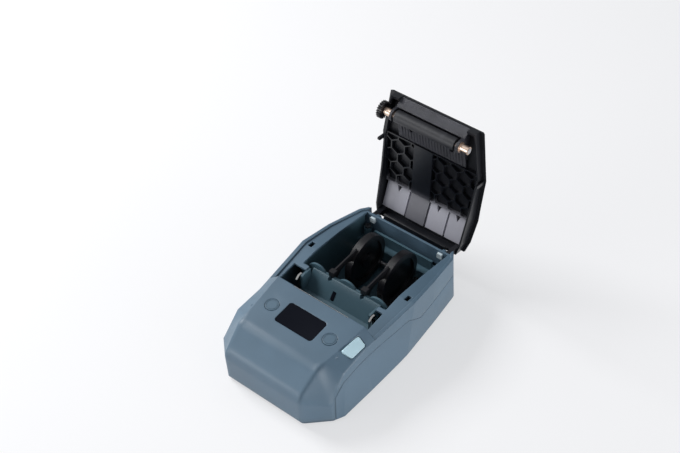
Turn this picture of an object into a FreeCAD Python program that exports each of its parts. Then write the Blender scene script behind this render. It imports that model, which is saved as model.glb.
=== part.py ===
"""Portable label printer with an open hinged lid.

Body, lid, platen, print head, drive, latch and roll holders.

Millimetres, +Z up, the display end faces -Y. The origin is at table height under the middle of the
outline. Everything is drawn closed, in stations (distance behind the nose) and heights. The lid and
all it carries is then swung about the hinge axis to the open position, which is the rest position.
"""
import FreeCAD, Part
import math
import os

Vec = FreeCAD.Vector

# Length, angles and hinge
body_length = 190.5
lid_open_angle = 96.0
hinge_station = body_length - 2.5
hinge_height = 37.3

# Outer form: nose and deck
nose_half_width = 36.7
nose_corner_height = 31.5
nose_lean = 2.0
nose_facet_height = 27.0
fold_station = 20.3
fold_half_width = 38.2
fold_height = 49.3
seam_station = 71.5
seam_half_width = 43.0
seam_height = 54.75
body_bottom = 2.0

# Outer form: shoulders, where the bevel meets the side wall
shoulder_front_station = 17.5
shoulder_front_half_width = 54.6
shoulder_front_height = 22.0
shoulder_turn_station = 33.5
shoulder_turn_half_width = 52.8
shoulder_turn_height = 42.5
shoulder_waist_station = 61.5
shoulder_waist_half_width = 52.0
shoulder_waist_height = 45.3
shoulder_seam_half_width = 52.7
rim_seam_height = 46.5
rim_widest_station = 116.5
rim_widest_half_width = 56.0
rim_widest_height = 51.8
rim_back_station = body_length - 44.0
rim_back_half_width = 53.2
rim_back_height = 49.8
rim_corner_station = body_length - 9.5
rim_corner_half_width = 47.8
rim_corner_height = 45.4
rim_rear_half_width = 41.5
rim_rear_height = 44.4

# Outer form: foot of the side wall
foot_front_half_width = 53.8
foot_turn_station = 28.5
foot_mid_half_width = 58.5
foot_turn_half_width = foot_mid_half_width - 0.6
foot_wide_station = 96.0
foot_back_station = 108.0
foot_back_half_width = 58.2
foot_taper_station = body_length - 38.5
foot_taper_half_width = 53.8
foot_corner_station = body_length - 7.5
foot_corner_half_width = 50.0
foot_rear_half_width = 44.5

# Outer form: lid
lid_crease_half_width = 49.5
lid_fold_station = body_length - 29.0
lid_fold_half_width = 47.0
lid_fold_height = 62.5
lid_corner_half_width = 46.0
lid_rear_half_width = 43.5
lid_rear_height = 55.0
lid_edge_drop = 1.6
lid_skirt_inset = 3.0
lid_skirt_wall = 1.5

# Walls and gaps
wall = 2.2
lid_wall = 2.2
floor_wall = 2.2
seat_gap = 0.1
lid_gap = 0.4
exit_slot = 0.9
parting_gap = 0.35
running_clearance = 0.05
fit_clearance = 0.02
moving_gap = 0.4

# Parting line between the upper shell and the base cheeks
parting_front_station = 22.0
parting_front_height = 26.0
parting_turn_station = 32.5
parting_turn_height = 34.5
parting_flat_station = 48.0
parting_flat_height = 36.5
parting_drop_station = 110.0
parting_drop_height = 38.0
parting_low_station = 127.0
parting_low_height = 27.0

# Ledge that the lid closes on
ledge_drop = 1.0
ledge_rim_width = 2.4
ledge_thickness = 2.0
hook_slot_half_width_at = 48.2
hook_slot_station = 118.8
hook_slot_length = 6.0
hook_slot_width = 3.6

# Openings in the ledge
bay_half_width = 41.3
bay_front_station = 99.5
bay_rear_station = body_length - 7.9
recess_half_width = 35.0
pocket_rear_station = 95.5
left_pocket_half_width = 47.0
right_pocket_half_width = 41.6

# Roll bay
tub_wall = 1.8
tub_floor_height = 6.4
rear_bar_half_width = 29.5
rear_bar_depth = 3.2
rear_bar_height = 33.0
rear_bar_thickness = 2.0
rear_shelf_depth = 10.0
rear_shelf_height = 23.0
boss_radius = 3.4
boss_half_width_at = 36.4
boss_station = body_length - 12.7
boss_top = 34.0

# Hinge
pin_radius = 1.5
knuckle_radius = 3.2
ear_inner = 32.2
ear_width = 3.0
knuckle_width = 4.0
knuckle_gap = 0.4
hinge_recess_half_width = 42.0
hinge_recess_station = body_length - 6.0
hinge_recess_height = 29.5
hinge_block_width = 5.0
hinge_block_depth = 2.1
hinge_block_height = 4.8

# Display and buttons
screen_half_width = 18.2
screen_front_station = 36.8
screen_length = 20.9
screen_corner = 2.6
screen_thickness = 1.4
screen_recess = 0.15
screen_gap = 0.15
button_half_width_at = 28.5
button_station = 47.0
button_radius = 5.6
button_gap = 0.35
button_proud = 0.3
button_stem_radius = 2.0
button_flange = 0.9
button_travel = 0.8
display_board_thickness = 1.6
switch_size = 6.0
switch_height = 3.4

# Release button on the right bevel
release_front_station = 42.6
release_front_slant = 4.0
release_rear_station = 63.0
release_inset_top = 1.6
release_inset_low = 1.6
release_gap = 0.35
release_proud = 1.2
release_corner = 1.8
release_edge = 0.5
release_depth = 3.4
finger_inner = 43.6
finger_width = 2.2
finger_low = 28.6
finger_height = 3.0
finger_rear_station = 97.5

# Platen and its drive
platen_station = 84.0
platen_height = 40.8
platen_radius = 5.2
platen_half_length = 28.5
shaft_radius = 2.2
bush_radius = 3.3
bush_flange_radius = 4.3
bush_flange = 0.7
bush_right_end = 40.5
bush_left_end = 39.8
gear_module = 0.7
gear_width = 3.7
platen_teeth = 20
idler_teeth = 28
motor_teeth = 10
gear_inner_face = 40.2
gear_backlash = 0.15
idler_angle = 229.5
pitch_steps_to_motor = 12
motor_radius = 10.0
motor_length = 16.0
motor_boss_radius = 4.5
motor_shaft_radius = 1.2
gear_plate_thickness = 1.0
axle_radius = 1.5

# Platen carrier in the lid
bracket_front = (90.0, 47.6)
bracket_rear = (110.6, 53.7)
bracket_thickness = 1.2
bracket_hole_at = 19.6
bracket_hole_station = 98.0
bracket_hole_radius = 2.0
rib_depth = 0.4
rib_width = 1.2
cheek_inner = 30.5
cheek_width = 2.2
cheek_radius = 5.4
rib_pitch = 2.9

# Print head
head_gap = 0.3
ceramic_thickness = 1.0
ceramic_half_width = 26.0
ceramic_height = 7.8
sink_thickness = 3.0
sink_half_width = 27.0
head_pivot_height = 31.5
head_pin_radius = 1.2
head_spring_radius = 2.4
head_spring_at = 16.0
mount_thickness = 1.2
mount_half_width = 30.2

# Latch
latch_station = 90.5
latch_height = 24.0
latch_rod_radius = 2.0
latch_lever_at = 36.4
latch_lever_thickness = 1.6
latch_lever_width = 3.4
latch_nose_thickness = 1.8
latch_crank = 6.2

# Paper guide with its three humps
guide_floor = 29.0
guide_face_top = 46.0
hump_top = 50.0
hump_spacing = 30.0
hump_half_width = 8.4
hump_rise = 4.5
guide_lip_station = 103.0
sensor_at = -7.5
sensor_size = 3.2
tear_bar_half_width = 27.0
tear_bar_thickness = 0.7
tear_bar_height = 4.2

# Roll holders
disc_radius = 23.0
disc_station = body_length - 42.3
disc_height = 30.8
disc_inner_face = 13.3
disc_thickness = 6.2
disc_rim = 4.5
disc_dish = 2.0
arm_thickness = 1.4
arm_hollow_radius = 13.0
arm_tip_height = 50.4
tip_station = 106.1
tip_length = 4.6
tip_width = 5.0
tip_height = 4.2
tip_rise = 0.4
stem_width = 4.0
foot_low = 10.0
foot_high = 16.0
foot_rear = body_length - 20.3
beam_width = 4.6
rail_radius = 2.0
rail_height = 13.0
rail_front_station = 115.5
rail_rear_station = body_length - 23.0
rack_module = 1.0
rack_teeth = 12
holder_pinion_station = body_length - 66.5
rack_low = 7.0
rack_high = 9.5
rack_back = 3.0
rack_reach = 22.0

# Inside the base
board_low = 7.2
board_thickness = 1.6
board_half_width = 34.5
board_front_station = 22.0
board_length = 68.0
post_radius = 3.0
post_at = 31.0
battery_width = 50.0
battery_length = 34.0
battery_height = 9.0
battery_left_edge = -16.0
battery_front_station = 28.0
socket_at = 20.0
socket_width = 9.0
socket_depth = 7.3
socket_height = 3.2
socket_low = 9.0
foot_pad_radius = 5.0
foot_pad_height = 2.6
foot_pad_sink = 0.6
foot_pad_inset = 12.0
foot_pad_rear_inset = 15.0
screw_radius = 1.5
screw_head_radius = 2.7
screw_head = 1.6
screw_length = 12.0

# Lid frame
frame_layer = 3.4
hex_pitch = 13.0
hex_web = 1.0
strip_left = -16.3
strip_right = 2.2
frame_front_station = 111.0
lid_hook_thickness = 1.8
lid_hook_width = 3.2
lid_hook_drop = 4.6


# Shared measures of the cuts and small pieces
sky = 90.0
beyond = 70.0
bite = 0.5
under_deck_low = 25.0
tear_seat_depth = 1.5
hinge_recess_skin = 1.6
post_overlap = 0.5
gear_foot_rise = 5.0
gear_slot_depth = 6.0
socket_block_depth = 4.5
socket_wall = 0.4
socket_tongue_inset = 1.4
socket_tongue_gap = 1.25
screw_front_at = 40.0
screw_front_station = 38.5
screw_rear_at = 36.0
screw_rear_station = body_length - 5.1
screw_seat_gap = 0.3
screw_clearance = 0.15
module_inset = 0.3
board_front_reach = 3.0
board_rear_reach = 1.0
knob_inset = 0.6
flange_gap = 0.2
flange_thickness = 1.0
button_edge = 0.3
button_ring_outer = 0.9
button_ring_inner = 1.35
button_ring_depth = 0.25
release_post_front = 9.0
release_post_rear = 4.0
release_post_top = 60.0
lever_foot_front = 3.6
lever_foot_half_width = 2.6
lever_foot_low = 3.4
lever_waist_rise = 8.0
lever_head_rise = 1.2
lever_nose_reach = 0.8
lever_nose_tip = 0.5
lever_side_gap = 0.7
lever_top_gap = 0.1
mount_low = 26.8
mount_top = 46.0
mount_foot_reach = 1.5
mount_cheek_reach = 2.4
mount_cheek_rise = 2.6
sink_foot_half_length = 2.1
sink_foot_drop = 2.3
sink_foot_rise = 2.3
sink_slope_rise = 3.1
leaf_foot = 33.5
leaf_knee = 34.5
leaf_crown = 39.5
leaf_tip = 41.5
leaf_thickness = 0.4
leaf_spring_out = 0.95
guide_sheet = 1.8
guide_lip_reach = 2.5
guide_knee_station = 92.0
guide_knee_rise = 2.0
guide_front_rise = 1.0
guide_wall_top = 45.2
guide_back_top = 43.5
guide_end_front = 88.5
guide_end_rear = 99.2
guide_end_top = 47.6
guide_end_corner = 47.0
guide_end_low = 20.0
guide_end_inset = 1.9
sensor_front_station = 93.2
sensor_rear_station = 97.6
sensor_outline = [(93.3, 33.4), (97.5, 39.0), (97.5, 34.5), (94.5, 30.5)]
carrier_panel = [(72.9, 52.3), (78.6, 44.9), (80.2, 45.8), (76.0, 52.6)]
carrier_cheek_front = [(78.6, 46.0), (73.1, 52.4)]
carrier_cheek_rear = [(102.4, 55.0), (103.4, 54.2)]
carrier_cheek_foot = 6.0
carrier_cheek_foot_rise = 2.4
short_rib = 0.12
chips = [(-14, -2, 66, 78, 1.4), (6, 14, 70, 78, 1.1), (20, 33, 74, 80, 5.5)]
battery_corner = 2.0
idler_groove_outer = 7.6
idler_groove_inner = 3.4
idler_groove_depth = 0.8
gear_plate_step = 26.0
gear_plate_rise = 6.0
motor_cap_depth = 2.0
motor_bore_depth = 5.0
motor_shaft_reach = 4.0
shaft_proud = 0.5
shaft_tip = 0.4
cross_narrow = 0.35
cross_wide = 1.6
cross_depth = 0.8
boss_shank = 7.0
toe_length = 5.0
stem_length = 3.0
tip_front_reach = 2.6
arm_root_station = 12.0
arm_root_rise = 21.2
arm_low = 38.0
arm_hollow_station = 5.5
arm_hollow_drop = 4.4
hinge_arm_front = 2.8
hinge_arm_rear = 2.2
hook_step = 1.0
hook_chamfer = 1.4
block_corner = 0.8
corner_reach = 0.15
cut_deep = 6.0
pressure_angle = math.radians(20)
addendum = 0.7
dedendum = 1.0
centre_slack = 0.1
rear_corner_radius = 7.0
screw_boss_rise = 1.2
screw_post_radius = 2.6
screw_boss_radius = 3.6
foot_pad_at = 38.0
board_depth = 9.5
display_board_half_width = 36.0
button_stem_end = 4.9
release_crank_gap = 0.6
guide_front_station = 80.0
guide_low = 19.8
guide_lip_half_width = 38.4
tear_tooth = 1.0
tip_middle = 16.0
hub_radius = 6.0
stem_station = 106.3
gear_plate_outer = 39.2
gear_plate_low = 6.0
gear_plate_front = 50.0
gear_plate_rear = 81.0
gear_foot_reach = 3.0
head_pivot_station = 76.0
head_top = 42.6
strip_rise = 0.6
frame_border = 1.2
panel_half_width = 40.5
panel_split = 21.5
panel_groove = 1.6
panel_layer = 2.2
panel_bridge = 0.5
panel_notch_width = 5.0
panel_notch_length = 6.0
panel_end_gap = 3.4
hinge_block_inner = 31.7
hinge_block_low = 37.5
nose_round = 12.0
fold_round = 12.0
lid_fold_round = 10.0
nose_corner_round = 3.0
shoulder_round = 3.0
rear_corner_round = 8.0
hinge_cover_inner = 5.2
hinge_cover_outer = 6.8
hinge_cover_half_width = 31.6
hinge_cover_start = 46.0
hinge_cover_end = 115.0
notch_radius = 1.7


# Places that follow from the sizes above

def swing(station, height, angle=lid_open_angle):
    """A point of the closed lid, swung open about the hinge axis, as station and height."""
    turn = math.radians(angle)
    ahead = station - hinge_station
    above = height - hinge_height
    return (hinge_station + ahead * math.cos(turn) + above * math.sin(turn),
            hinge_height - ahead * math.sin(turn) + above * math.cos(turn))


lid_front_station = seam_station + exit_slot
open_reach = max(swing(seam_station, seam_height)[0], swing(lid_fold_station, lid_fold_height)[0])
nose_y = -open_reach / 2


def y_at(station):
    return nose_y + station


def deck_height(station):
    slope = (seam_height - fold_height) / (seam_station - fold_station)
    return fold_height + slope * (station - fold_station)


def lid_height(station):
    if station > lid_fold_station:
        slope = (lid_rear_height - lid_fold_height) / (body_length - lid_fold_station)
        return lid_fold_height + slope * (station - lid_fold_station)
    slope = (lid_fold_height - seam_height) / (lid_fold_station - seam_station)
    return seam_height + slope * (station - seam_station)


def lean_at(height):
    """How far the nose face has moved back at a height, because it leans."""
    return nose_lean * (nose_corner_height - height) / (nose_corner_height - body_bottom)


RIM = [(seam_station, rim_seam_height), (rim_widest_station, rim_widest_height),
       (rim_back_station, rim_back_height), (rim_corner_station, rim_corner_height),
       (body_length, rim_rear_height)]


def rim_at(station):
    """Height of the rim line, along which the lid meets the body."""
    for (s0, z0), (s1, z1) in zip(RIM, RIM[1:]):
        if station <= s1 or s1 == body_length:
            return z0 + (z1 - z0) * (station - s0) / (s1 - s0)


# Drawing helpers

def prism(points, x0, x1):
    """A solid with the side-view outline given as (station, height), between two X planes."""
    corners = [Vec(x0, y_at(s), z) for s, z in points]
    face = Part.Face(Part.makePolygon(corners + corners[:1]))
    return face.extrude(Vec(x1 - x0, 0, 0))


def plate(points, z0, z1):
    """A solid with the top-view outline given as (x, station), between two heights."""
    corners = [Vec(x, y_at(s), z0) for x, s in points]
    face = Part.Face(Part.makePolygon(corners + corners[:1]))
    return face.extrude(Vec(0, 0, z1 - z0))


def block(x0, x1, s0, s1, z0, z1):
    return Part.makeBox(x1 - x0, s1 - s0, z1 - z0, Vec(x0, y_at(s0), z0))


def rod(x0, x1, station, height, radius):
    """A cylinder along X."""
    return Part.makeCylinder(radius, x1 - x0, Vec(x0, y_at(station), height), Vec(1, 0, 0))


def post(x, station, z0, z1, radius):
    """A cylinder along Z."""
    return Part.makeCylinder(radius, z1 - z0, Vec(x, y_at(station), z0))


def mirrored(shape):
    return shape.mirror(Vec(0, 0, 0), Vec(1, 0, 0))


def both(shape):
    """The shape and its mirror image, as two solids in one compound."""
    return Part.makeCompound(shape.Solids + mirrored(shape).Solids)


def joined(shapes):
    result = shapes[0]
    if len(shapes) > 1:
        result = result.fuse(shapes[1:])
    return result.removeSplitter()


def opened(shape):
    """Swing a shape of the closed lid to the open position."""
    moved = shape.copy()
    moved.rotate(Vec(0, y_at(hinge_station), hinge_height), Vec(1, 0, 0), -lid_open_angle)
    return moved


def form(inset=0.0, bottom=None):
    """The closed outer form, drawn in by an inset, as a solid through nine cross-sections."""
    low = body_bottom if bottom is None else bottom
    top_in = 0.85 * inset
    rim_in = 0.35 * inset

    def section(top, rim, foot):
        half = [(top[0], top[1] - top_in, top[2] - inset),
                (rim[0], rim[1] - inset, rim[2] - rim_in),
                (foot[0], foot[1] - inset, low)]
        left = [(s, -x, z) for s, x, z in reversed(half)]
        corners = [Vec(x, y_at(s), z) for s, x, z in left + half]
        return Part.makePolygon(corners + corners[:1])

    facet = nose_facet_height - rim_in
    rear = body_length - inset
    sections = [
        section((inset + lean_at(nose_corner_height - inset), nose_half_width, nose_corner_height),
                (inset + lean_at(facet), nose_half_width + 0.2, nose_facet_height),
                (inset + lean_at(low), nose_half_width - 0.2, 0)),
        section((fold_station + 0.4 * inset, fold_half_width, fold_height),
                (shoulder_front_station + 0.4 * inset, shoulder_front_half_width, shoulder_front_height),
                (shoulder_front_station + nose_lean + 0.4 * inset, foot_front_half_width, 0)),
        section((foot_turn_station, fold_half_width + 0.7, deck_height(foot_turn_station)),
                (shoulder_turn_station, shoulder_turn_half_width, shoulder_turn_height),
                (foot_turn_station, foot_turn_half_width, 0)),
        section((shoulder_waist_station, seam_half_width - 1.0, deck_height(shoulder_waist_station)),
                (shoulder_waist_station, shoulder_waist_half_width, shoulder_waist_height),
                (shoulder_waist_station, foot_mid_half_width, 0)),
        section((seam_station, seam_half_width, seam_height),
                (seam_station, shoulder_seam_half_width, rim_seam_height),
                (foot_wide_station, foot_mid_half_width, 0)),
        section((rim_widest_station, lid_crease_half_width, lid_height(rim_widest_station)),
                (rim_widest_station, rim_widest_half_width, rim_widest_height),
                (foot_back_station, foot_back_half_width, 0)),
        section((lid_fold_station, lid_fold_half_width, lid_fold_height),
                (rim_back_station, rim_back_half_width, rim_back_height),
                (foot_taper_station, foot_taper_half_width, 0)),
        section((rim_corner_station, lid_corner_half_width, lid_height(rim_corner_station)),
                (rim_corner_station, rim_corner_half_width, rim_corner_height),
                (foot_corner_station, foot_corner_half_width, 0)),
        section((rear, lid_rear_half_width, lid_rear_height),
                (rear, rim_rear_half_width, rim_rear_height),
                (rear, foot_rear_half_width, 0)),
    ]
    return Part.makeLoft(sections, True, True)


def above_rim(front_station, lift):
    """Everything above the rim line, behind a station."""
    line = [(s, z + lift) for s, z in RIM if s > front_station]
    start = (front_station, rim_at(front_station) + lift)
    end = (body_length + 10, rim_rear_height + lift)
    return prism([start] + line[:-1] + [end, (body_length + 10, 90), (front_station, 90)], -beyond, beyond)


def below_parting(grow):
    """Everything that the base cheeks take: the side walls under the parting line."""
    line = [(parting_front_station - grow, body_bottom - 5),
            (parting_front_station - grow, parting_front_height + grow),
            (parting_turn_station - grow, parting_turn_height + grow),
            (parting_flat_station, parting_flat_height + grow),
            (parting_drop_station, parting_drop_height + grow),
            (parting_low_station, parting_low_height + grow),
            (body_length + 10, parting_low_height + grow),
            (body_length + 10, body_bottom - 5)]
    return prism(line, -beyond, beyond)


def corner_points():
    """Corners of the outer form, as (half width, station, height), named by cross-section and level."""
    return {
        "nose facet": (nose_half_width + 0.2, lean_at(nose_facet_height), nose_facet_height),
        "nose foot": (nose_half_width - 0.2, lean_at(body_bottom), body_bottom),
        "fold shoulder": (shoulder_front_half_width, shoulder_front_station, shoulder_front_height),
        "fold foot": (foot_front_half_width, shoulder_front_station + nose_lean, body_bottom),
        "turn shoulder": (shoulder_turn_half_width, shoulder_turn_station, shoulder_turn_height),
        "waist shoulder": (shoulder_waist_half_width, shoulder_waist_station, shoulder_waist_height),
        "corner rim": (rim_corner_half_width, rim_corner_station, rim_corner_height),
        "corner foot": (foot_corner_half_width, foot_corner_station, body_bottom),
    }


def edges_on(shape, pairs):
    """The edges of a shape, on both sides, that lie on the line between two named corner points."""
    places = corner_points()
    found = []
    for edge in shape.Edges:
        ends = [Vec(abs(v.X), v.Y - nose_y, v.Z) for v in edge.Vertexes]
        if len(ends) < 2 or edge.Length < 1:
            continue
        for first, last in pairs:
            start = Vec(*places[first])
            along = (Vec(*places[last]) - start).normalize()
            off = [((end - start) - along * (end - start).dot(along)).Length for end in ends]
            if max(off) < corner_reach:
                found.append(edge)
                break
    return found


def cross_edges(shape, station, height):
    return [e for e in shape.Edges if e.BoundBox.XLength > nose_half_width
            and all(abs(v.Y - y_at(station)) + abs(v.Z - height) < 2 * corner_reach for v in e.Vertexes)]


def softened(shape):
    """The outer form with its corners rounded, and its three cross edges: nose, deck front and lid fold."""
    shoulders = (("fold shoulder", "turn shoulder"), ("turn shoulder", "waist shoulder"),
                 ("fold shoulder", "fold foot"))
    shape = shape.makeFillet(shoulder_round, edges_on(shape, shoulders))
    shape = shape.makeFillet(rear_corner_round, edges_on(shape, (("corner rim", "corner foot"),)))
    for station, height, radius in ((0, nose_corner_height, nose_round), (fold_station, fold_height, fold_round),
                                    (lid_fold_station, lid_fold_height, lid_fold_round)):
        shape = shape.makeFillet(radius, cross_edges(shape, station, height))
    return shape.makeFillet(nose_corner_round, edges_on(shape, (("nose facet", "nose foot"),)))


OUTER = softened(form())


def deck_frame(station):
    """Unit vectors on the deck: up out of it, and back along it."""
    slope = math.atan2(seam_height - fold_height, seam_station - fold_station)
    return Vec(0, -math.sin(slope), math.cos(slope)), Vec(0, math.cos(slope), math.sin(slope))


def deck_point(x, station, out=0.0):
    up, _ = deck_frame(station)
    return Vec(x, y_at(station), deck_height(station)) + up * out


def deck_cylinder(x, station, radius, low, high):
    """A cylinder square to the deck, between two distances out of it."""
    up, _ = deck_frame(station)
    return Part.makeCylinder(radius, high - low, deck_point(x, station, low), up)


def deck_slab(half_width, front, length, corner, low, high):
    """A rounded rectangle on the deck, between two distances out of it."""
    up, back = deck_frame(front)
    slab = Part.makeBox(2 * half_width, length, high - low)
    upright = [e for e in slab.Edges if abs(e.tangentAt(e.FirstParameter).z) > 0.9]
    if corner > 0:
        slab = slab.makeFillet(corner, upright)
    turn = FreeCAD.Rotation(Vec(1, 0, 0), math.degrees(math.atan2(back.z, back.y)))
    slab.Placement = FreeCAD.Placement(deck_point(-half_width, front, low), turn)
    return slab


# Bevel on which the release button sits

def bevel_frame():
    """Unit vectors on the right bevel near the release button: out of it, and down along it."""
    fall = seam_height - rim_seam_height
    run = shoulder_seam_half_width - seam_half_width
    length = math.hypot(fall, run)
    return Vec(fall / length, 0, run / length), Vec(run / length, 0, -fall / length)


def release_outline(grow):
    """Corners of the release button, seen square to the bevel, on a plane through it."""
    out, down = bevel_frame()
    width = math.hypot(seam_height - rim_seam_height, shoulder_seam_half_width - seam_half_width)
    mid = (release_front_station + release_rear_station) / 2
    share = (seam_station - mid) / (seam_station - fold_station)
    crease = seam_half_width - share * (seam_half_width - fold_half_width)
    origin = Vec(crease, y_at(0), deck_height(mid))
    top = release_inset_top - grow
    low = width - release_inset_low + grow
    corners = [(release_front_station - grow, top), (release_rear_station + grow, top),
               (release_rear_station + grow, low),
               (release_front_station + release_front_slant - grow, low)]
    return [origin + Vec(0, s, 0) + down * t for s, t in corners]


def release_solid(grow, low, high):
    out, _ = bevel_frame()
    corners = [p + out * low for p in release_outline(grow)]
    face = Part.Face(Part.makePolygon(corners + corners[:1]))
    solid = face.extrude(out * (high - low))
    upright = [e for e in solid.Edges if abs(e.tangentAt(e.FirstParameter).dot(out)) > 0.9]
    return solid.makeFillet(release_corner + grow, upright)


# Gears

def involute(angle):
    return math.tan(angle) - angle


def tooth_half_angle(teeth, module, radius, thinning):
    """Half the angle that a tooth covers at a radius, for a 20 degree involute flank."""
    pitch = module * teeth / 2
    base = pitch * math.cos(pressure_angle)
    at_radius = max(radius, base)
    half = math.pi / (2 * teeth) + involute(pressure_angle) - involute(math.acos(base / at_radius))
    return half - thinning / (2 * pitch)


def gear_outline(teeth, module, tooth_direction):
    """Corners of a spur gear about its own centre, with one tooth centred on a direction."""
    pitch = module * teeth / 2
    root = pitch - dedendum * module
    tip = pitch + addendum * module
    step = 2 * math.pi / teeth
    levels = [root, (root + pitch) / 2, pitch, (pitch + tip) / 2, tip]
    points = []
    for n in range(teeth):
        mid = math.radians(tooth_direction) + n * step
        flank = [(r, tooth_half_angle(teeth, module, r, gear_backlash)) for r in levels]
        for r, half in flank:
            points.append((r * math.cos(mid - half), r * math.sin(mid - half)))
        for r, half in reversed(flank):
            points.append((r * math.cos(mid + half), r * math.sin(mid + half)))
    return points


def gear(teeth, module, x0, x1, station, height, bore, tooth_direction):
    outline = [(station + u, height + v) for u, v in gear_outline(teeth, module, tooth_direction)]
    return prism(outline, x0, x1).cut(rod(x0 - 1, x1 + 1, station, height, bore))


# Upper shell

def deck_cuts():
    """Holes in the deck for the screen and the two buttons."""
    cuts = [deck_slab(screen_half_width + screen_gap, screen_front_station - screen_gap,
                      screen_length + 2 * screen_gap, screen_corner + screen_gap, -cut_deep, cut_deep)]
    for side in (-1, 1):
        cuts.append(deck_cylinder(side * button_half_width_at, button_station,
                                  button_radius + button_gap, -cut_deep, cut_deep))
    return cuts


def ledge_openings():
    """Holes through the ledge: bay, paper recess, drive pocket, latch pocket and hook slots."""
    low = hinge_recess_height
    cuts = [block(-bay_half_width, bay_half_width, bay_front_station, bay_rear_station, low, sky),
            block(-recess_half_width, recess_half_width, seam_station, bay_front_station + 1, low, sky),
            block(-left_pocket_half_width, 0, seam_station, pocket_rear_station, low, sky),
            block(0, right_pocket_half_width, seam_station, pocket_rear_station, low, sky)]
    for side in (-1, 1):
        x = side * hook_slot_half_width_at
        cuts.append(block(x - hook_slot_width / 2, x + hook_slot_width / 2,
                          hook_slot_station - hook_slot_length / 2,
                          hook_slot_station + hook_slot_length / 2, 40, sky))
    return cuts


def upper_shell():
    body = OUTER.cut(below_parting(parting_gap)).cut(above_rim(seam_station, 0))
    body = body.cut(form(ledge_rim_width).common(above_rim(seam_station, -ledge_drop)))
    ceiling = above_rim(seam_station - wall, -ledge_drop - ledge_thickness)
    body = body.cut(form(wall, body_bottom - 3).cut(ceiling))
    body = body.cut(ledge_openings() + deck_cuts())
    under_deck = block(-recess_half_width, recess_half_width, seam_station - wall - 1, seam_station + 1,
                       under_deck_low, seam_height - tear_bar_height - tear_seat_depth)
    tear_seat = block(-tear_bar_half_width, tear_bar_half_width, seam_station - tear_bar_thickness,
                      seam_station + 1, seam_height - tear_bar_height, sky)
    body = body.cut([under_deck, tear_seat, release_solid(release_gap, -cut_deep - 2, cut_deep)])
    body = body.cut(rear_corner())
    return add_hinge_recess(body)


def rear_corner():
    """The edge that comes off the rear of the rim, so that the opening lid clears it."""
    edge = block(-beyond, beyond, hinge_station, body_length + 1, hinge_height, sky)
    return edge.cut(rod(-beyond - 1, beyond + 1, hinge_station, hinge_height, rear_corner_radius))


def add_hinge_recess(body):
    """A pocket across the rear, with front wall, floor and side walls, and two hinge ears in it."""
    w = hinge_recess_half_width
    skin = hinge_recess_skin
    pocket = block(-w, w, hinge_recess_station, body_length + 10, hinge_recess_height, sky)
    liner = block(-w - skin, w + skin, bay_rear_station + seat_gap, body_length + 10,
                  hinge_recess_height - skin, sky)
    liner = liner.common(form(wall / 2)).cut(above_rim(seam_station, -ledge_drop))
    liner = liner.cut([pocket, rear_corner()])
    additions = [liner]
    for x, s in screw_places():
        low = body_bottom + floor_wall + screw_boss_rise
        high = hinge_recess_height - skin / 2 if s > seam_station else deck_height(s) - wall / 2
        additions.append(post(x, s, low, high, screw_post_radius))
    for side in (-1, 1):
        x0 = min(side * ear_inner, side * (ear_inner + ear_width))
        x1 = x0 + ear_width
        ear = rod(x0, x1, hinge_station, hinge_height, knuckle_radius)
        stand = block(x0, x1, hinge_station - knuckle_radius, hinge_station + knuckle_radius,
                      hinge_recess_height - skin / 2, hinge_height)
        additions.append(ear.fuse(stand))
    body = joined([body.cut(pocket)] + additions)
    bores = [rod(-w, w, hinge_station, hinge_height, pin_radius + fit_clearance)]
    for x, s in screw_places():
        bores.append(post(x, s, 0, screw_length + body_bottom + screw_head + 2, screw_radius + fit_clearance))
    return body.cut(bores)


# Base

def base_shell():
    top = body_bottom + floor_wall
    cheeks = OUTER.common(below_parting(0)).cut(form(wall, body_bottom - 3))
    floor_rear = OUTER.common(block(-beyond, beyond, parting_front_station, body_length + 1, body_bottom, top))
    floor_front = form(wall + seat_gap, body_bottom).common(
        block(-beyond, beyond, 0, parting_front_station + 1, body_bottom, top))
    parts = [cheeks, floor_rear, floor_front]
    for x, s in board_posts():
        parts.append(post(x, s, body_bottom + post_overlap, board_low, post_radius))
    for x, s in screw_places():
        parts.append(post(x, s, body_bottom + post_overlap, top + screw_boss_rise, screw_boss_radius))
    for s in (gear_plate_front + gear_foot_reach, gear_plate_rear - gear_foot_reach):
        parts.append(block(-gear_plate_outer - gear_foot_reach,
                           -gear_plate_outer + gear_plate_thickness + gear_foot_reach,
                           s - gear_foot_reach, s + gear_foot_reach, body_bottom + post_overlap,
                           gear_plate_low + gear_foot_rise))
    parts.append(block(socket_at - socket_width / 2, socket_at + socket_width / 2,
                       body_length - wall - socket_block_depth, body_length - wall / 2,
                       body_bottom + post_overlap, socket_low))
    body = joined(parts)
    cuts = []
    for x, s in foot_places():
        cuts.append(post(x, s, body_bottom - 1, body_bottom + foot_pad_sink, foot_pad_radius + seat_gap))
    for x, s in screw_places():
        cuts.append(post(x, s, body_bottom - 1, body_bottom + screw_head + screw_seat_gap,
                         screw_head_radius + screw_seat_gap))
        cuts.append(post(x, s, body_bottom - 1, under_deck_low, screw_radius + screw_clearance))
    cuts.append(block(-gear_plate_outer - fit_clearance, -gear_plate_outer + gear_plate_thickness + fit_clearance,
                      gear_plate_front, gear_plate_rear, gear_plate_low, gear_plate_low + gear_slot_depth))
    cuts.append(block(socket_at - socket_width / 2 - seat_gap, socket_at + socket_width / 2 + seat_gap,
                      body_length - wall - 2, body_length + 5, socket_low, socket_low + socket_height + seat_gap))
    return body.cut(cuts)


def board_posts():
    return [(side * post_at, s) for side in (-1, 1)
            for s in (board_front_station + 5, board_front_station + board_length - 6)]


def screw_places():
    places = ((screw_front_at, screw_front_station), (screw_rear_at, screw_rear_station))
    return [(side * x, s) for side in (-1, 1) for x, s in places]


def foot_places():
    return [(side * foot_pad_at, s) for side in (-1, 1)
            for s in (2 * foot_pad_inset, body_length - foot_pad_rear_inset)]


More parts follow.
